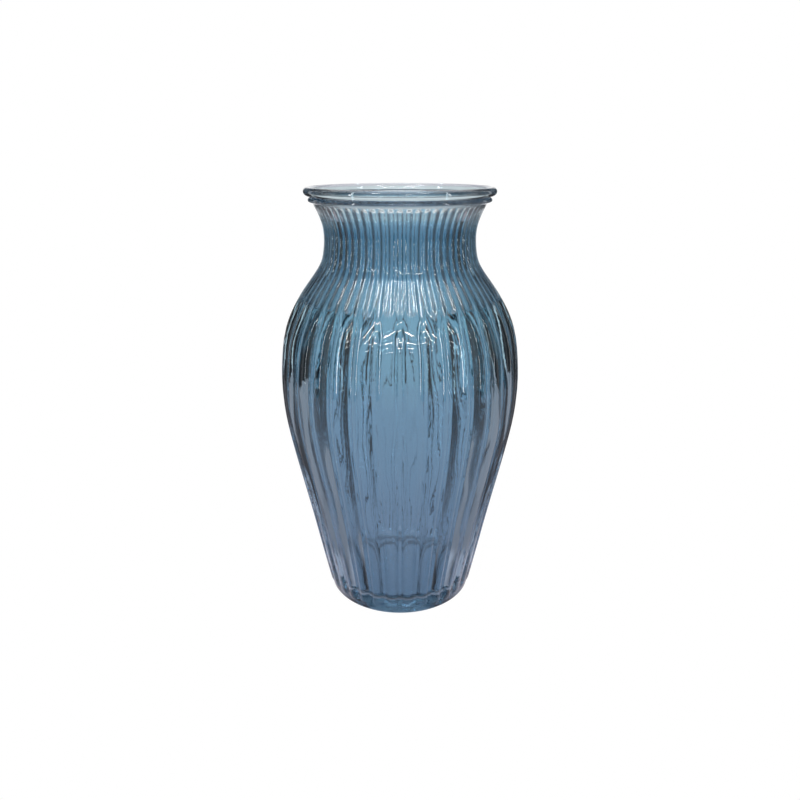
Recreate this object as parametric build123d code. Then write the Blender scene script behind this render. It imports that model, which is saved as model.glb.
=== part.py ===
from build123d import *

import os
from math import cos, pi, sin

# Ribbed glass flower vase: one hollow piece of moulded blue glass, open at the top.
# Frame: millimetres, +Z up, origin at the centre of the foot, on the plane that it stands on.
# Every radius is measured from the vase's own axis, which is the Z axis.

# Driving dimensions -------------------------------------------------------------------------

vase_height = 260.0

# Foot: a flat standing ring round a very shallow domed hollow.
foot_radius = 47.1
foot_edge_round = 1.4
standing_ring_inner_radius = 37.0
punt_depth = 1.0

# Body ribs: rounded outwards, with a narrow groove between neighbours.
body_rib_count = 32
body_rib_height = 1.6
body_groove_width = 1.8
body_rib_bottom = 3.0
body_rib_bottom_run = 5.0
body_rib_top_run = 8.0

# Neck flutes: shallow hollows, one above each rib and one above each groove.
neck_flute_count = 2 * body_rib_count
neck_flute_depth = 0.9
neck_flute_run = 3.5

# Outline of the body along the rib crests, up to the shoulder break: (height, radius).
body_outline = [
    (24.0, 52.3),
    (52.0, 58.0),
    (80.0, 64.0),
    (108.0, 69.9),
    (128.0, 73.2),
    (143.0, 74.0),
    (160.0, 73.0),
    (175.0, 70.6),
    (185.0, 67.2),
]
shoulder_break = (197.0, 60.7)

# Outline of the neck along the ridges between flutes, from the shoulder break to the collar.
neck_outline = [
    (205.0, 55.1),
    (211.0, 50.7),
    (217.0, 47.2),
    (224.0, 45.5),
    (231.0, 44.95),
    (239.0, 45.75),
]
collar_foot = (251.0, 50.7)

# Mouth: a thin collar ring, a groove and a round bead.
collar_radius = 53.5
collar_bottom = 251.9
collar_top = 253.6
groove_radius = 52.3
groove_height = 254.7
bead_tube_radius = 2.53
bead_centre_radius = 53.6
bead_underside_angle = 240.0

# Glass thickness, measured level from the crests to the smooth inner wall.
lower_wall = 4.4
neck_wall = 3.1

# Inner floor: a flat disc and a generous curve up into the wall.
floor_height = 7.0
floor_flat_radius = 32.0
floor_curve_top = 17.0


# Shared geometry ----------------------------------------------------------------------------

def polar(radius, turn, height):
    """A point at a radius, a share of a full turn and a height."""
    return (radius * cos(2 * pi * turn), radius * sin(2 * pi * turn), height)


def fluted_section(height, radius, depth):
    """A level section of the neck: arcs between ridges, each dipping by depth at its middle."""
    arcs = []
    for i in range(neck_flute_count):
        ridge = polar(radius, i / neck_flute_count, height)
        valley = polar(radius - depth, (i + 0.5) / neck_flute_count, height)
        next_ridge = polar(radius, (i + 1) / neck_flute_count, height)
        arcs.append(ThreePointArc(ridge, valley, next_ridge))
    return make_face(Wire(arcs))


def ribbed_section(height, radius, depth):
    """A level section of the body: arcs out to the crests, and groove floors this deep."""
    floor = radius - depth
    half_groove = body_groove_width / 2 / (2 * pi * floor)
    arcs = []
    for i in range(body_rib_count):
        rib_start = polar(floor, i / body_rib_count + half_groove, height)
        crest = polar(radius, (i + 0.5) / body_rib_count, height)
        rib_end = polar(floor, (i + 1) / body_rib_count - half_groove, height)
        groove_middle = polar(floor, (i + 1) / body_rib_count, height)
        next_start = polar(floor, (i + 1) / body_rib_count + half_groove, height)
        arcs.append(ThreePointArc(rib_start, crest, rib_end))
        arcs.append(ThreePointArc(rib_end, groove_middle, next_start))
    return make_face(Wire(arcs))


def wall_at(height):
    """Glass thickness at a height, thinning evenly from the floor curve to the collar."""
    share = (height - floor_curve_top) / (collar_foot[0] - floor_curve_top)
    return lower_wall + (neck_wall - lower_wall) * share


def outline_radius(height, below, above):
    """Radius on the straight line between two outline points."""
    share = (height - below[0]) / (above[0] - below[0])
    return below[1] + (above[1] - below[1]) * share


def revolved(edges):
    """The solid swept by a closed outline in the XZ plane round the vase's axis."""
    return revolve(make_face(Wire(edges)), axis=Axis.Z)


# Pieces of the outer form -------------------------------------------------------------------

def make_foot():
    """Plain disc under the ribs, with a rounded edge and a domed hollow beneath."""
    top_radius = outline_radius(body_rib_bottom, (0.0, foot_radius), body_outline[0])
    edge_top = (foot_radius + 0.3, 0, foot_edge_round)
    edge_middle = (foot_radius - 0.25, 0, 0.4)
    edge_bottom = (foot_radius - foot_edge_round, 0, 0)
    punt_edge = (standing_ring_inner_radius, 0, 0)
    punt_middle = (standing_ring_inner_radius / 2, 0, punt_depth * 0.75)
    punt_centre = (0, 0, punt_depth)
    outline = [
        ThreePointArc(punt_centre, punt_middle, punt_edge),
        Line(punt_edge, edge_bottom),
        ThreePointArc(edge_bottom, edge_middle, edge_top),
        Line(edge_top, (top_radius, 0, body_rib_bottom)),
        Line((top_radius, 0, body_rib_bottom), (0, 0, body_rib_bottom)),
        Line((0, 0, body_rib_bottom), punt_centre),
    ]
    return revolved(outline)


def make_band(section, bottom, outline, top, runs, depth):
    """A ribbed or fluted band that starts and ends as a plain circle at bottom and top."""
    bottom_full = bottom[0] + runs[0]
    top_full = top[0] - runs[1]
    first = (bottom_full, outline_radius(bottom_full, bottom, outline[0]))
    last = (top_full, outline_radius(top_full, outline[-1], top))
    full_depth = [section(z, r, depth) for z, r in [first, *outline, last]]
    bottom_circle = section(bottom[0], bottom[1], 0.0)
    top_circle = section(top[0], top[1], 0.0)
    return [
        loft([bottom_circle, full_depth[0]], ruled=True),
        loft(full_depth),
        loft([full_depth[-1], top_circle], ruled=True),
    ]


def make_body():
    """Body: wide ribs from just above the foot to the shoulder break."""
    bottom_radius = outline_radius(body_rib_bottom, (0.0, foot_radius), body_outline[0])
    bottom = (body_rib_bottom, bottom_radius)
    runs = (body_rib_bottom_run, body_rib_top_run)
    return make_band(
        ribbed_section, bottom, body_outline, shoulder_break, runs, body_rib_height
    )


def make_neck():
    """Neck: narrow flutes from the shoulder break to the collar."""
    runs = (neck_flute_run, neck_flute_run)
    return make_band(
        fluted_section, shoulder_break, neck_outline, collar_foot, runs, neck_flute_depth
    )


# Mouth and inside ---------------------------------------------------------------------------

def mouth_inner_radius():
    """Radius of the smooth inner wall where the neck meets the mouth ring."""
    return collar_foot[1] - neck_wall


def make_mouth_ring():
    """Collar ring, groove and round bead, as one ring of glass with its inner wall."""
    bead_height = vase_height - bead_tube_radius
    bead_start_angle = bead_underside_angle * pi / 180
    bead_start = (
        bead_centre_radius + bead_tube_radius * cos(bead_start_angle),
        0,
        bead_height + bead_tube_radius * sin(bead_start_angle),
    )
    bead_outer = (bead_centre_radius + bead_tube_radius, 0, bead_height)
    bead_top = (bead_centre_radius, 0, vase_height)
    bead_inner_middle = (
        bead_centre_radius - bead_tube_radius * cos(pi / 4),
        0,
        bead_height + bead_tube_radius * sin(pi / 4),
    )
    bead_inner = (bead_centre_radius - bead_tube_radius, 0, bead_height)
    foot_outer = (collar_foot[1], 0, collar_foot[0])
    foot_inner = (mouth_inner_radius(), 0, collar_foot[0])
    groove = (groove_radius, 0, groove_height)
    outline = [
        Line(foot_inner, foot_outer),
        Line(foot_outer, (collar_radius, 0, collar_bottom)),
        Line((collar_radius, 0, collar_bottom), (collar_radius, 0, collar_top)),
        Line((collar_radius, 0, collar_top), groove),
        Line(groove, bead_start),
        ThreePointArc(bead_start, bead_outer, bead_top),
        ThreePointArc(bead_top, bead_inner_middle, bead_inner),
        Spline(bead_inner, foot_inner, tangents=[(0, 0, -1), (-0.62, 0, -1)]),
    ]
    return revolved(outline)


def make_cavity():
    """The space inside, from the inner floor up to the mouth ring."""
    stations = [*body_outline, shoulder_break, *neck_outline]
    wall = [(r - wall_at(z), 0, z) for z, r in stations if z > floor_curve_top]
    mouth = (mouth_inner_radius(), 0, collar_foot[0])
    mouth_above = (mouth_inner_radius(), 0, vase_height)
    floor_edge = (floor_flat_radius, 0, floor_height)
    curve_top = (
        outline_radius(floor_curve_top, (0.0, foot_radius), body_outline[0]) - lower_wall,
        0,
        floor_curve_top,
    )
    outline = [
        Line((0, 0, floor_height), floor_edge),
        Spline(floor_edge, curve_top, tangents=[(1, 0, 0), (0.2, 0, 1)]),
        Spline(curve_top, *wall, mouth),
        Line(mouth, mouth_above),
        Line(mouth_above, (0, 0, vase_height)),
        Line((0, 0, vase_height), (0, 0, floor_height)),
    ]
    return revolved(outline)


# The vase -----------------------------------------------------------------------------------

def make_vase():
    """One hollow piece: foot, ribbed body and fluted neck, hollowed, then the mouth ring."""
    form = make_foot()
    for band in [*make_body(), *make_neck()]:
        form = form + band
    return form - make_cavity() + make_mouth_ring()


os.makedirs("parts", exist_ok=True)
vase = make_vase()
vase.label = "glass_vase"
export_step(vase, "parts/glass_vase.step")
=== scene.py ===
import math

import bpy
import numpy as np
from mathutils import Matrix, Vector


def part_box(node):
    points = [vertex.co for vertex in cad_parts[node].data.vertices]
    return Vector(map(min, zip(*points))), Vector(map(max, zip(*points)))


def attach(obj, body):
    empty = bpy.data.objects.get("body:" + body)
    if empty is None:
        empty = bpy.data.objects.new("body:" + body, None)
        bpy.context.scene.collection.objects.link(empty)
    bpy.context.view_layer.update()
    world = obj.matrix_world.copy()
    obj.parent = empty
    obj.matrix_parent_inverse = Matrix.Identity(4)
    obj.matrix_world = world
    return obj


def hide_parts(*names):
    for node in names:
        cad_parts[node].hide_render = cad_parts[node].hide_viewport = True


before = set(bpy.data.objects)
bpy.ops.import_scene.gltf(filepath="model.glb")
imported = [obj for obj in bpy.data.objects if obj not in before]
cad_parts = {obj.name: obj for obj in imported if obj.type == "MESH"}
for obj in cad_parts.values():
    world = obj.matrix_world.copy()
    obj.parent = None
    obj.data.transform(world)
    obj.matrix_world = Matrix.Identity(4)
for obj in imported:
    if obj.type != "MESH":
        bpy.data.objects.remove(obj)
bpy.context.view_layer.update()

# The vase's lengths and the camera's place are in millimetres of a vase VASE_HEIGHT tall. The
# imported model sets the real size: UNIT turns those millimetres into metres at the CAD vase's own
# height. The stage and the lights are in metres.

VASE_NODE = "glass_vase"
VASE_HEIGHT = 260.0
vase_low, vase_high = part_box(VASE_NODE)
UNIT = (vase_high.z - vase_low.z) / VASE_HEIGHT

# Body and neck: (height, radius) along the rib crests and the ridges between neck flutes.
RIDGE_LINE = [
    (0.0, 47.1),
    (24.0, 52.3),
    (52.0, 58.0),
    (80.0, 64.0),
    (108.0, 69.9),
    (128.0, 73.2),
    (143.0, 74.0),
    (160.0, 73.0),
    (175.0, 70.6),
    (185.0, 67.2),
    (197.0, 60.7),
    (205.0, 55.1),
    (211.0, 50.7),
    (217.0, 47.2),
    (224.0, 45.5),
    (231.0, 44.95),
    (239.0, 45.75),
    (251.0, 50.7),
]

# Foot: a flat standing ring round a shallow domed hollow.
FOOT_EDGE_ROUND = 1.4
STANDING_RING_INNER = 37.0
STANDING_RING_OUTER = 45.5
PUNT_DEPTH = 1.0

# Body ribs: rounded outwards, side by side, with a narrow groove between neighbours. The groove
# is shallower beside the foot, where only FOOT_SHARE of the ribs' height stands out.
BODY_RIBS = 32
RIB_HEIGHT = 1.7
RIB_ROUNDNESS = 2.5
GROOVE_HALF_WIDTH = 0.9
GROOVE_SOFTNESS = 0.03
RIB_BOTTOM = 3.2
RIB_FULL = 14.0
FOOT_SHARE = 0.4
RIB_TOP = 186.0
RIB_END = 200.0

# Neck flutes: a pocket above each rib and a long flute above each groove, with narrow lands
# between them.
NECK_FLUTE_DEPTH = 0.7
NECK_FLUTE_FLATNESS = 2.5
NECK_LAND = 0.6
EDGE_SOFTNESS = 0.05
POCKET_END = 196.5
BETWEEN_FLUTE_END = 184.0
BETWEEN_FLUTE_TAPER = 16.0
NECK_FLUTE_TOP = 250.6
NECK_FLUTE_TOP_ROUND = 2.5

# Mouth: a thin collar ring and a groove, as (height, radius), and a round bead above them.
COLLAR_LINE = [
    (251.35, 51.4),
    (251.75, 52.7),
    (252.2, 53.5),
    (252.8, 53.55),
    (253.6, 53.4),
    (254.2, 52.8),
    (254.7, 52.3),
]
BEAD_TUBE = 2.53
BEAD_CENTRE = 53.6
BEAD_STARTS = -115

# Inside: glass thickness, the floor, and the unevenness of the blown inner wall.
LOWER_WALL = 4.4
NECK_WALL = 3.1
FLOOR_HEIGHT = 7.0
FLOOR_FLAT = 32.0
FLOOR_CURVE_TOP = 17.0
MOUTH_INSIDE = (254.5, 50.2)
INNER_RIPPLE = 0.3
INNER_WANDER = 0.12
RIPPLE_STARTS = (25.0, 55.0)
RIPPLE_ENDS = (200.0, 175.0)


# Outline ------------------------------------------------------------------------------------

def fade(value, start, end):
    """0 up to start, 1 from end on, and straight between them; end may be the lower one."""
    return np.clip((value - start) / (end - start), 0, 1)


def smooth_curve(points, at):
    """Natural cubic spline through (x, y) points, worked out at the places given."""
    x = np.array([p[0] for p in points], float)
    y = np.array([p[1] for p in points], float)
    gap = np.diff(x)
    slope = np.diff(y) / gap
    count = len(x)
    matrix = np.eye(count)
    right = np.zeros(count)
    for i in range(1, count - 1):
        matrix[i, i - 1] = gap[i - 1]
        matrix[i, i] = 2 * (gap[i - 1] + gap[i])
        matrix[i, i + 1] = gap[i]
        right[i] = 6 * (slope[i] - slope[i - 1])
    bend = np.linalg.solve(matrix, right)
    at = np.asarray(at, float)
    i = np.clip(np.searchsorted(x, at) - 1, 0, count - 2)
    a = (x[i + 1] - at) / gap[i]
    b = (at - x[i]) / gap[i]
    curve = (a**3 - a) * bend[i] + (b**3 - b) * bend[i + 1]
    return a * y[i] + b * y[i + 1] + curve * gap[i] ** 2 / 6


def ridge_radius(z):
    """Radius of the crests at these heights."""
    return smooth_curve(RIDGE_LINE, z)


def wall_thickness(z):
    """Level distance from the ridges to the inner wall, thinning evenly upwards."""
    return LOWER_WALL + (NECK_WALL - LOWER_WALL) * fade(z, FLOOR_CURVE_TOP, RIDGE_LINE[-1][0])


def arc(centre, radius, start, end, steps):
    """Points on a circular arc in the outline plane; angles in degrees."""
    angles = np.radians(np.linspace(start, end, steps))
    return [(centre[0] + radius * math.cos(a), centre[1] + radius * math.sin(a)) for a in angles]


# Ribs and flutes ----------------------------------------------------------------------------

def half_pitch(z):
    """Half the level distance from the crest of one body rib to the next."""
    return ridge_radius(z) * math.pi / BODY_RIBS


def eased(distance, softness):
    """Distance from a sharp edge, measured as if the edge were slightly rounded; 1 stays 1."""
    full = math.hypot(1, softness) - softness
    return (np.hypot(np.clip(distance, 0, 1), softness) - softness) / full


def scoop(distance):
    """1 at a flute's middle, falling to 0 at its edge."""
    return 1 - (1 - eased(1 - distance, EDGE_SOFTNESS)) ** NECK_FLUTE_FLATNESS


def from_end(past, reach):
    """How far past the start of a flute's rounded end a point lies, as a share of the end."""
    return np.clip(past / reach, 0, None)


def surface_depth(across, z):
    """Depth below the crests. across runs from -1 to 1, from groove to groove over one rib."""
    half = half_pitch(z)
    sideways = np.abs(across) * half

    # Grooves on both sides of a rib, meeting in a round end under it.
    rib_half = half - GROOVE_HALF_WIDTH
    bottom_end = from_end(RIB_BOTTOM + rib_half - z, rib_half)
    distance = np.sqrt((sideways / rib_half) ** 2 + bottom_end**2)
    rib = (1 - eased(1 - distance, GROOVE_SOFTNESS)) ** RIB_ROUNDNESS
    rise = FOOT_SHARE + (1 - FOOT_SHARE) * fade(z, RIB_BOTTOM, RIB_FULL)
    ribs = rib * RIB_HEIGHT * rise * (1 - fade(z, RIB_TOP, RIB_END))

    # The pocket above the rib, and the flutes above its two grooves.
    flute_half = half / 2 - NECK_LAND
    top = from_end(z - (NECK_FLUTE_TOP - NECK_FLUTE_TOP_ROUND), NECK_FLUTE_TOP_ROUND)
    pocket_end = from_end(POCKET_END + flute_half - z, flute_half)
    pocket = scoop(np.sqrt((sideways / flute_half) ** 2 + pocket_end**2 + top**2))
    between_end = from_end(BETWEEN_FLUTE_END + BETWEEN_FLUTE_TAPER - z, BETWEEN_FLUTE_TAPER)
    between = scoop(np.sqrt(((half - sideways) / flute_half) ** 2 + between_end**2 + top**2))
    return np.maximum(ribs, np.maximum(pocket, between) * NECK_FLUTE_DEPTH)


# Mesh ---------------------------------------------------------------------------------------

FRONT = -math.pi / 2
PITCH = 2 * math.pi / BODY_RIBS
WALL_TOP = RIDGE_LINE[-1][0]
BEAD_HEIGHT = VASE_HEIGHT - BEAD_TUBE

# Rows of the outer wall, as (from, to, about this far apart): closer where ribs and flutes end.
OUTER_ROWS = [
    (FOOT_EDGE_ROUND, 3.6, 0.8),
    (3.6, 10.5, 0.6),
    (10.5, 178.0, 6.5),
    (178.0, 194.0, 1.6),
    (194.0, 205.0, 0.5),
    (205.0, 246.5, 2.2),
    (246.5, WALL_TOP, 0.45),
]

# How much of the chill ripple shows on the smooth outside and on the inner wall.
OUTER_RIPPLE = 0.1
FULL_RIPPLE = 1.0


def around(count):
    """This many directions round the axis, starting from the front."""
    return FRONT + np.arange(count) * 2 * math.pi / count


MOUTH_ANGLES = around(BODY_RIBS * 9)
INNER_ANGLES = around(BODY_RIBS * 6)


def columns_across(z):
    """Places across one body rib, from -1 to 1, that follow the groove and the flutes' edges."""
    pocket_edge = 0.5 - NECK_LAND / half_pitch(z)
    between_edge = 0.5 + NECK_LAND / half_pitch(z)
    right = [pocket_edge * 0.4, pocket_edge * 0.8, pocket_edge, 0.5, between_edge]
    groove_edge = 1 - GROOVE_HALF_WIDTH / half_pitch(z)
    right += [between_edge + (groove_edge - between_edge) * share for share in (0.4, 0.75, 0.93, 1)]
    right += [(groove_edge + 1) / 2]
    return np.array([-1] + [-x for x in reversed(right)] + [0] + right)


def spaced(low, high, step):
    """Heights from low to high, evenly spaced by about step, without the last one."""
    count = max(1, round((high - low) / step))
    return list(np.linspace(low, high, count, endpoint=False))


def outer_heights():
    """Heights of the outer wall's rows."""
    rows = []
    for low, high, step in OUTER_ROWS:
        rows += spaced(low, high, step)
    return np.array(rows + [WALL_TOP])


def inner_ripple(z, angles):
    """How far the blown inner wall leans in: it follows the grooves a little, and it wanders."""
    rise = fade(z, *RIPPLE_STARTS) * fade(z, *RIPPLE_ENDS)
    follow = (1 + np.cos(BODY_RIBS * (angles - FRONT))) / 2 * INNER_RIPPLE * rise
    broad = np.sin(9 * angles + z / 13)
    middling = np.sin(23 * angles - z / 7 + 1)
    fine = np.sin(41 * angles + z / 19 + 2)
    return follow + (broad + middling + fine) * INNER_WANDER * rise


# A ring is (radii, height, angles): one level row of the skin.

def underside_rings():
    """From near the centre of the domed hollow out to the foot's rounded edge."""
    rings = []
    for share in (0.06, 0.2, 0.35, 0.5, 0.65, 0.8, 0.92):
        rings.append((STANDING_RING_INNER * share, PUNT_DEPTH * (1 - share**2), INNER_ANGLES))
    rings.append((STANDING_RING_INNER, 0, INNER_ANGLES))
    rings.append((STANDING_RING_INNER + 2, 0, INNER_ANGLES))
    foot_radius = float(ridge_radius(FOOT_EDGE_ROUND)) - RIB_HEIGHT * FOOT_SHARE
    corner = (foot_radius - FOOT_EDGE_ROUND, FOOT_EDGE_ROUND)
    for r, z in arc(corner, FOOT_EDGE_ROUND, -90, 0, 5)[:-1]:
        rings.append((r, z, MOUTH_ANGLES))
    return rings


def wall_rings():
    """The ribbed and fluted outer wall, up to the collar."""
    rings = []
    for z in outer_heights():
        across = columns_across(z)
        number = np.repeat(np.arange(BODY_RIBS), len(across))
        across = np.tile(across, BODY_RIBS)
        angles = FRONT + (number + 0.5 + across / 2) * PITCH
        rings.append((ridge_radius(z) - surface_depth(across, z), z, angles))
    return rings


def mouth_rings():
    """Collar, groove and bead."""
    outline = [(r, z) for z, r in COLLAR_LINE]
    outline += arc((BEAD_CENTRE, BEAD_HEIGHT), BEAD_TUBE, BEAD_STARTS, 180, 20)
    return [(r, z, MOUTH_ANGLES) for r, z in outline]


def inner_rings():
    """From the bead down the inner wall, round the floor's curve and in to the floor's centre."""
    floor_top = float(ridge_radius(FLOOR_CURVE_TOP)) - LOWER_WALL
    wall = [(z, r) for z, r in RIDGE_LINE if FLOOR_CURVE_TOP < z < WALL_TOP]
    points = [(FLOOR_CURVE_TOP, floor_top)]
    points += [(z, r - float(wall_thickness(z))) for z, r in wall]
    points += [
        (WALL_TOP, RIDGE_LINE[-1][1] - NECK_WALL),
        MOUTH_INSIDE,
        (BEAD_HEIGHT, BEAD_CENTRE - BEAD_TUBE),
    ]
    rings = []
    for z in np.linspace(BEAD_HEIGHT - 0.8, FLOOR_CURVE_TOP, 54):
        radii = smooth_curve(points, z) - inner_ripple(z, INNER_ANGLES)
        rings.append((radii, z, INNER_ANGLES))
    for share in np.linspace(0, 1, 14)[1:]:
        a = share * math.pi / 2
        r = FLOOR_FLAT + (floor_top - FLOOR_FLAT) * math.cos(a)
        z = FLOOR_CURVE_TOP - (FLOOR_CURVE_TOP - FLOOR_HEIGHT) * math.sin(a)
        rings.append((r, z, INNER_ANGLES))
    for r in (24, 16, 8, 2):
        rings.append((r, FLOOR_HEIGHT, INNER_ANGLES))
    return rings


def ring_points(radii, z, angles):
    """The ring's vertices."""
    radii = np.broadcast_to(radii, angles.shape)
    z = np.broadcast_to(z, angles.shape)
    return np.stack([radii * np.cos(angles), radii * np.sin(angles), z], 1)


def strip(a, angles_a, b, angles_b):
    """Faces between two rings, facing outwards as the rings run up the outside.

    a and b are the numbers of the rings' first vertices."""
    na, nb = len(angles_a), len(angles_b)
    if na == nb:
        return [(a + i, a + (i + 1) % na, b + (i + 1) % nb, b + i) for i in range(na)]
    turn_a = np.append(angles_a - angles_a[0], 2 * math.pi)
    turn_b = np.append(angles_b - angles_b[0], 2 * math.pi)
    faces = []
    i = j = 0
    while i < na or j < nb:
        if j >= nb or (i < na and turn_a[i + 1] <= turn_b[j + 1]):
            faces.append((a + i, a + (i + 1) % na, b + j % nb))
            i += 1
        else:
            faces.append((a + i % na, b + (j + 1) % nb, b + j))
            j += 1
    return faces


def build_vase():
    """One closed skin: underside, outer wall, collar and bead, inner wall and inner floor."""
    outside = underside_rings() + wall_rings() + mouth_rings()
    rings = outside + inner_rings()
    sizes = [len(angles) for radii, z, angles in rings]
    starts = [0] + np.cumsum(sizes).tolist()
    verts = np.concatenate([ring_points(*ring) for ring in rings])
    verts = np.append(verts, [[0, 0, PUNT_DEPTH], [0, 0, FLOOR_HEIGHT]], 0)

    faces = []
    for i in range(len(rings) - 1):
        faces += strip(starts[i], rings[i][2], starts[i + 1], rings[i + 1][2])
    under_centre, floor_centre = starts[-1], starts[-1] + 1
    n = sizes[0]
    faces += [(under_centre, (i + 1) % n, i) for i in range(n)]
    last, n = starts[-2], sizes[-1]
    faces += [(floor_centre, last + i, last + (i + 1) % n) for i in range(n)]

    mesh = bpy.data.meshes.new("fluted_glass")
    mesh.from_pydata((verts * UNIT).tolist(), [], faces)
    mesh.polygons.foreach_set("use_smooth", [True] * len(mesh.polygons))
    mesh.update()
    inside = np.arange(len(verts)) >= starts[len(outside)]
    ripple = mesh.attributes.new("ripple", "FLOAT", "POINT")
    ripple.data.foreach_set("value", np.where(inside, FULL_RIPPLE, OUTER_RIPPLE))
    vase = bpy.data.objects.new("fluted_glass", mesh)
    bpy.context.collection.objects.link(vase)
    return vase


# Materials ----------------------------------------------------------------------------------

WHITE = (1, 1, 1, 1)

# Colour of the glass by height, as (height, colour): its blue, growing lighter from the foot up to
# the shoulder, with painted shade across the neck, a painted light band just under the collar, and
# painted dark shade over the collar and the groove under the bead. Light takes it once at each
# surface.
GLASS_TINTS_AND_PAINTED_SHADING = [
    (0.0, (0.385, 0.51, 0.62, 1)),
    (100.0, (0.42, 0.60, 0.715, 1)),
    (190.0, (0.45, 0.66, 0.755, 1)),
    (215.0, (0.35, 0.54, 0.67, 1)),
    (235.0, (0.31, 0.52, 0.66, 1)),
    (243.0, (0.50, 0.70, 0.81, 1)),
    (246.0, (0.92, 0.97, 0.99, 1)),
    (250.6, (0.92, 0.97, 0.99, 1)),
    (252.0, (0.30, 0.38, 0.43, 1)),
    (254.0, (0.34, 0.42, 0.47, 1)),
    (256.5, (0.62, 0.71, 0.74, 1)),
]

# What a metre of glass lets through, on top of the tint.
DEPTH_COLOUR = (0.35, 0.50, 0.60, 1)
DEPTH_DENSITY = 22.0

# Chill ripple: a faint unevenness of the surface, drawn out upwards. Its height is in metres.
RIPPLE_HEIGHT = 0.00005
RIPPLE_SCALE = 500.0
RIPPLE_STRETCH = (1, 1, 0.4)


def feed(tree, value, socket):
    """Link another node's output to this socket, or give the socket a plain value."""
    if isinstance(value, bpy.types.NodeSocket):
        tree.links.new(value, socket)
    else:
        socket.default_value = value


def add_math(tree, operation, first, second=0.0):
    node = tree.nodes.new("ShaderNodeMath")
    node.operation = operation
    feed(tree, first, node.inputs[0])
    feed(tree, second, node.inputs[1])
    return node.outputs["Value"]


def add_mix(tree, factor, first, second, blend="MIX"):
    """A mix of two colours."""
    node = tree.nodes.new("ShaderNodeMix")
    node.data_type = "RGBA"
    node.blend_type = blend
    feed(tree, factor, node.inputs["Factor"])
    feed(tree, first, node.inputs["A"])
    feed(tree, second, node.inputs["B"])
    return node.outputs["Result"]


def add_ramp(tree, place, stops):
    """A colour ramp with these (position, colour) stops, read at this place."""
    node = tree.nodes.new("ShaderNodeValToRGB")
    elements = node.color_ramp.elements
    while len(elements) < len(stops):
        elements.new(1.0)
    for element, (position, colour) in zip(elements, stops):
        element.position = position
        element.color = colour
    feed(tree, place, node.inputs["Fac"])
    return node.outputs["Color"]


def stored(tree, name):
    """The attribute node of a value stored in the mesh."""
    node = tree.nodes.new("ShaderNodeAttribute")
    node.attribute_name = name
    return node


def camera_sees_white(tree, colour):
    """White where the camera looks straight at it, and this colour in and through the glass."""
    path = tree.nodes.new("ShaderNodeLightPath")
    return add_mix(tree, path.outputs["Is Camera Ray"], colour, WHITE)


def make_glass():
    """Clear glass, tinted in the depth of the wall and by height, where the colour by height
    carries painted light and shade, with a faint chill ripple.
    """
    material = bpy.data.materials.new("blue_pressed_glass")
    material.use_nodes = True
    tree = material.node_tree
    shader = tree.nodes["Principled BSDF"]
    shader.inputs["Roughness"].default_value = 0.0
    shader.inputs["IOR"].default_value = 1.5
    shader.inputs["Transmission Weight"].default_value = 1.0

    coords = tree.nodes.new("ShaderNodeTexCoord")
    split = tree.nodes.new("ShaderNodeSeparateXYZ")
    feed(tree, coords.outputs["Object"], split.inputs["Vector"])
    height = add_math(tree, "DIVIDE", split.outputs["Z"], VASE_HEIGHT * UNIT)
    # Colour by height, with painted shade across the neck and at the collar, and a painted light
    # band under the collar.
    tint_and_painted_shading = add_ramp(tree, height, [(z / VASE_HEIGHT, colour) for z, colour in GLASS_TINTS_AND_PAINTED_SHADING])
    feed(tree, tint_and_painted_shading, shader.inputs["Base Color"])

    stretch = tree.nodes.new("ShaderNodeMapping")
    stretch.inputs["Scale"].default_value = RIPPLE_STRETCH
    feed(tree, coords.outputs["Object"], stretch.inputs["Vector"])
    ripple = tree.nodes.new("ShaderNodeTexNoise")
    ripple.inputs["Scale"].default_value = RIPPLE_SCALE
    ripple.inputs["Detail"].default_value = 2.0
    feed(tree, stretch.outputs["Vector"], ripple.inputs["Vector"])
    bump = tree.nodes.new("ShaderNodeBump")
    bump.inputs["Distance"].default_value = RIPPLE_HEIGHT
    feed(tree, stored(tree, "ripple").outputs["Fac"], bump.inputs["Strength"])
    feed(tree, ripple.outputs["Fac"], bump.inputs["Height"])
    feed(tree, bump.outputs["Normal"], shader.inputs["Normal"])

    depth = tree.nodes.new("ShaderNodeVolumeAbsorption")
    depth.inputs["Color"].default_value = DEPTH_COLOUR
    depth.inputs["Density"].default_value = DEPTH_DENSITY
    feed(tree, depth.outputs["Volume"], tree.nodes["Material Output"].inputs["Volume"])
    return material


def make_floor_material():
    """White to the camera; in and through the glass it glows with the painted light and shade
    stored in the mesh.
    """
    material = bpy.data.materials.new("pale_floor")
    material.use_nodes = True
    tree = material.node_tree
    tree.nodes.remove(tree.nodes["Principled BSDF"])
    glow = tree.nodes.new("ShaderNodeEmission")
    shade = stored(tree, "shade").outputs["Color"]
    feed(tree, camera_sees_white(tree, shade), glow.inputs["Color"])
    feed(tree, glow.outputs["Emission"], tree.nodes["Material Output"].inputs["Surface"])
    return material


# Stage: lengths in metres -------------------------------------------------------------------

# The table's tint, and the painted light and shade that its parts show through the glass.
TABLE_SHADE = (0.87, 0.77, 0.82, 1)
TABLE_DARK = 0.06
SIDE_LIGHT = 0.5
BESIDE_LIGHT = 0.45
FRONT_LIGHT = 0.55
PAINTED_CONTACT_SHADOW = 0.45

# Half the angle, in degrees, of the bright wedge of table behind the vase and of the dark one
# round it.
BRIGHT_WEDGE = 14
DARK_WEDGE = 45

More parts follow.
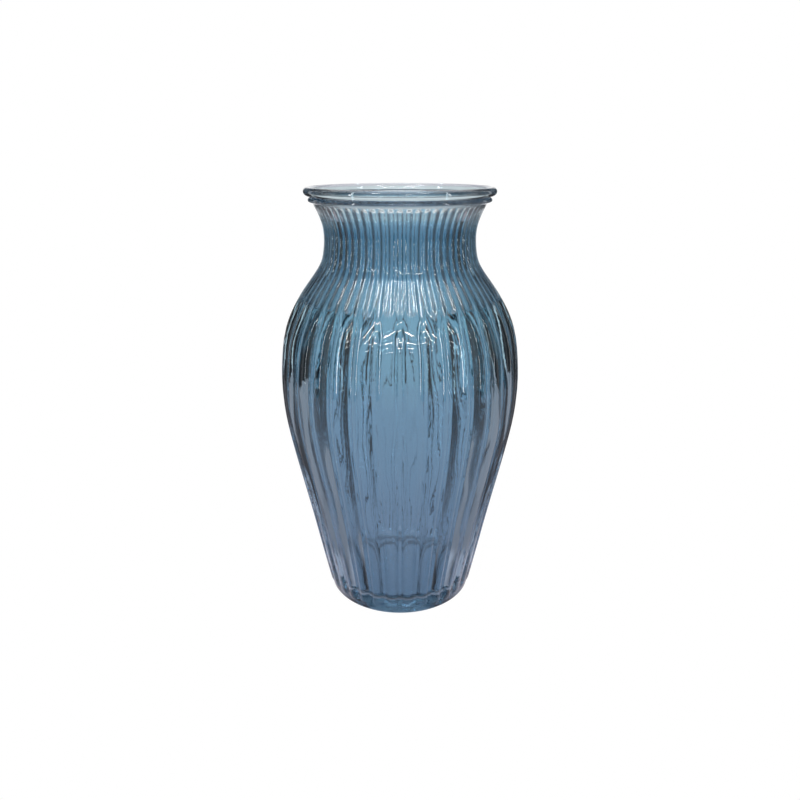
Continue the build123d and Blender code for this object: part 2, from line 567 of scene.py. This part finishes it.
# Where the table's painted light turns from dark to lit, as (dark, lit). Widths are measured out
# from the middle line, or behind the vase from a wedge's side. The painted shadows' reach is
# measured from an edge of the standing ring, and the rest from the vase's axis towards the back.
MIDDLE_WIDTHS = (0.09, 0.07)
MIDDLE_FRONT = (-0.046, -0.03)
SIDE_WIDTHS = (0.10, 0.13)
BESIDE_WIDTHS = (0.05, 0.07)
BESIDE_FRONT = (-0.15, -0.05)
BESIDE_BACK = (0.06, 0.01)
FRONT_PART = (-0.06, -0.10)
SHADOW_REACH = (0.001, 0.003)

# The floor lies this far below the foot, so that the two don't touch.
FLOOR_DROP = 0.0002

# The table's sides and its fine middle, round the foot.
TABLE_SIDE = 0.6
TABLE_BACK = 0.4
FINE_MIDDLE = 0.06
FINE_STEP = 0.001
COARSE_STEP = 0.01

# Brightness of the room round the vase, as (degrees from straight behind it, colour): a bright
# backdrop, dark flags with bright strips between them, and the lit room in front.
ROOM_DARK = (0.03, 0.027, 0.028, 1)
ROOM = [
    (15.0, (1, 1, 1, 1)),
    (17.5, ROOM_DARK),
    (45.0, ROOM_DARK),
    (47.0, (0.9, 0.9, 0.9, 1)),
    (52.0, (0.9, 0.9, 0.9, 1)),
    (54.0, ROOM_DARK),
    (80.0, ROOM_DARK),
    (82.0, (0.5, 0.5, 0.5, 1)),
    (98.0, (0.5, 0.5, 0.5, 1)),
    (100.0, ROOM_DARK),
    (115.0, ROOM_DARK),
    (150.0, (0.65, 0.65, 0.65, 1)),
]

# The room takes the table's tint below the horizon; heights are those of a unit direction.
TINTED_BELOW = -0.40
PLAIN_ABOVE = -0.15


def table_places(low, high):
    """Grid lines from low to high, close together round the foot."""
    coarse_from = FINE_MIDDLE + COARSE_STEP
    before = np.linspace(low, -coarse_from, round((-coarse_from - low) / COARSE_STEP) + 1)
    fine = np.linspace(-FINE_MIDDLE, FINE_MIDDLE, round(2 * FINE_MIDDLE / FINE_STEP) + 1)
    after = np.linspace(coarse_from, high, round((high - coarse_from) / COARSE_STEP) + 1)
    return np.concatenate([before, fine, after])


def table_light(x, y):
    """The painted light and shade of the table, as seen through the glass, at these places."""
    aside = np.abs(x)
    behind = np.clip(y, 0, None)
    from_bright_wedge = aside - behind * math.tan(math.radians(BRIGHT_WEDGE))
    from_dark_wedge = aside - behind * math.tan(math.radians(DARK_WEDGE))
    middle = fade(from_bright_wedge, *MIDDLE_WIDTHS) * fade(y, *MIDDLE_FRONT)
    sides = fade(from_dark_wedge, *SIDE_WIDTHS)
    beside = fade(aside, *BESIDE_WIDTHS) * fade(y, *BESIDE_FRONT) * fade(y, *BESIDE_BACK)
    front = fade(y, *FRONT_PART)
    parts = [middle, sides * SIDE_LIGHT, beside * BESIDE_LIGHT, front * FRONT_LIGHT]
    light = TABLE_DARK + (1 - TABLE_DARK) * np.maximum.reduce(parts)
    # A thin painted contact shadow at each edge of the standing ring.
    for edge in (STANDING_RING_INNER, STANDING_RING_OUTER):
        from_edge = np.abs(np.hypot(x, y) - edge * UNIT)
        light = light * (1 - PAINTED_CONTACT_SHADOW * (1 - fade(from_edge, *SHADOW_REACH)))
    return light


def make_stage():
    """A white table that glows with painted light and shade. The glass shows it lit under the vase
    and behind it, beside it and in front, dark between, with a thin painted contact shadow at each
    edge of the standing ring."""
    across = table_places(-TABLE_SIDE, TABLE_SIDE)
    along = table_places(-TABLE_SIDE, TABLE_BACK)
    x, y = [grid.ravel() for grid in np.meshgrid(across, along)]
    wide = len(across)
    corners = [row * wide + i for row in range(len(along) - 1) for i in range(wide - 1)]
    faces = [(i, i + 1, i + wide + 1, i + wide) for i in corners]
    mesh = bpy.data.meshes.new("floor")
    mesh.from_pydata(np.stack([x, y, 0 * x], 1).tolist(), [], faces)
    colours = np.outer(table_light(x, y), TABLE_SHADE)
    shade = mesh.attributes.new("shade", "FLOAT_COLOR", "POINT")
    shade.data.foreach_set("color", colours.ravel())
    mesh.materials.append(make_floor_material())
    floor = bpy.data.objects.new("floor", mesh)
    bpy.context.collection.objects.link(floor)
    floor.location.z = -FLOOR_DROP


def make_world():
    """The room round the vase: seen only in and through the glass, as the camera sees white."""
    world = bpy.data.worlds.new("studio")
    bpy.context.scene.world = world
    world.use_nodes = True
    tree = world.node_tree
    coords = tree.nodes.new("ShaderNodeTexCoord")
    split = tree.nodes.new("ShaderNodeSeparateXYZ")
    feed(tree, coords.outputs["Generated"], split.inputs["Vector"])
    turn = add_math(tree, "ARCTAN2", split.outputs["X"], split.outputs["Y"])
    share = add_math(tree, "DIVIDE", add_math(tree, "ABSOLUTE", turn), math.pi)
    room = add_ramp(tree, share, [(angle / 180, colour) for angle, colour in ROOM])
    height = tree.nodes.new("ShaderNodeMapRange")
    height.inputs["From Min"].default_value = TINTED_BELOW
    height.inputs["From Max"].default_value = PLAIN_ABOVE
    feed(tree, split.outputs["Z"], height.inputs["Value"])
    shade = add_mix(tree, height.outputs["Result"], TABLE_SHADE, WHITE)
    seen = add_mix(tree, 1.0, room, shade, "MULTIPLY")
    feed(tree, camera_sees_white(tree, seen), tree.nodes["Background"].inputs["Color"])


# Lights -------------------------------------------------------------------------------------

# Rows of ceiling tubes, lying level across the camera's line, as (elevation in degrees seen
# from the shoulder's front, radiance, length in metres).
TUBES = [
    (37.5, 130, 1.9),
    (30.0, 85, 1.5),
    (24.5, 55, 1.0),
    (19.5, 30, 0.8),
]
TUBE_DISTANCE = 1.6
TUBE_THICKNESS = 0.008
SHOULDER_POINT = (0, -67 * UNIT, 186 * UNIT)

# The other lights: (width, height, radiance).
OVERHEAD_PANEL = (1.8, 1.75, 1.6)
HIGH_LAMP = (0.08, 0.5, 35)
SIDE_STRIP = (0.06, 1.1, 14)


def add_light(name, place, aim, width, height, radiance):
    """A rectangle of light with this radiance. The camera can't see it."""
    data = bpy.data.lights.new(name, "AREA")
    data.shape = "RECTANGLE"
    data.size = width
    data.size_y = height
    data.energy = radiance * math.pi * width * height
    light = bpy.data.objects.new(name, data)
    bpy.context.collection.objects.link(light)
    light.location = place
    light.rotation_euler = (Vector(aim) - Vector(place)).to_track_quat("-Z", "Y").to_euler()
    light.visible_camera = False


def round_vase(distance, turn, elevation, height):
    """A place this far from the axis, turned from the front and raised above a height."""
    t, e = math.radians(turn), math.radians(elevation)
    level = distance * math.cos(e)
    return (level * math.sin(t), -level * math.cos(t), height + distance * math.sin(e))


def make_lights():
    """Ceiling tubes in front, a panel overhead, and a high lamp and a tall strip on each side."""
    for elevation, radiance, length in TUBES:
        x, y, z = round_vase(TUBE_DISTANCE, 0, elevation, SHOULDER_POINT[2])
        place = (x, y + SHOULDER_POINT[1], z)
        add_light("tube", place, SHOULDER_POINT, length, TUBE_THICKNESS, radiance)
    add_light("overhead_panel", (0, 0.1, 1.2), (0, 0.1, 0), *OVERHEAD_PANEL)
    for side in (-1, 1):
        lamp_place = round_vase(distance=1.5, turn=38 * side, elevation=57, height=0.2)
        add_light("high_lamp", lamp_place, SHOULDER_POINT, *HIGH_LAMP)
        strip_place = round_vase(distance=1.3, turn=58 * side, elevation=0, height=0.45)
        add_light("side_strip", strip_place, (0, 0, 0.3), *SIDE_STRIP)


# Camera -------------------------------------------------------------------------------------

# In front of the vase: its distance and height, its tilt down in degrees, and its lens in mm.
CAMERA_DISTANCE = 422.0
CAMERA_HEIGHT = 276.5
CAMERA_TILT = 19.31
LENS = 31.31


def make_camera():
    """The photograph's view of the vase."""
    data = bpy.data.cameras.new("camera")
    data.sensor_width = 36.0
    data.lens = LENS
    camera = bpy.data.objects.new("camera", data)
    bpy.context.collection.objects.link(camera)
    camera.location = (0, -CAMERA_DISTANCE * UNIT, CAMERA_HEIGHT * UNIT)
    camera.rotation_euler = (math.radians(90 - CAMERA_TILT), 0, 0)
    bpy.context.scene.camera = camera


# Scene --------------------------------------------------------------------------------------

make_camera()
vase = build_vase()
vase.data.materials.append(make_glass())
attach(vase, "root")
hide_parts(VASE_NODE)

make_stage()
make_world()
make_lights()

# Enough bounces for light to cross both walls and the ribs again and again.
scene = bpy.context.scene
scene.view_settings.view_transform = "Standard"
scene.cycles.max_bounces = 32
scene.cycles.transmission_bounces = 32
scene.cycles.glossy_bounces = 16
scene.cycles.volume_bounces = 4
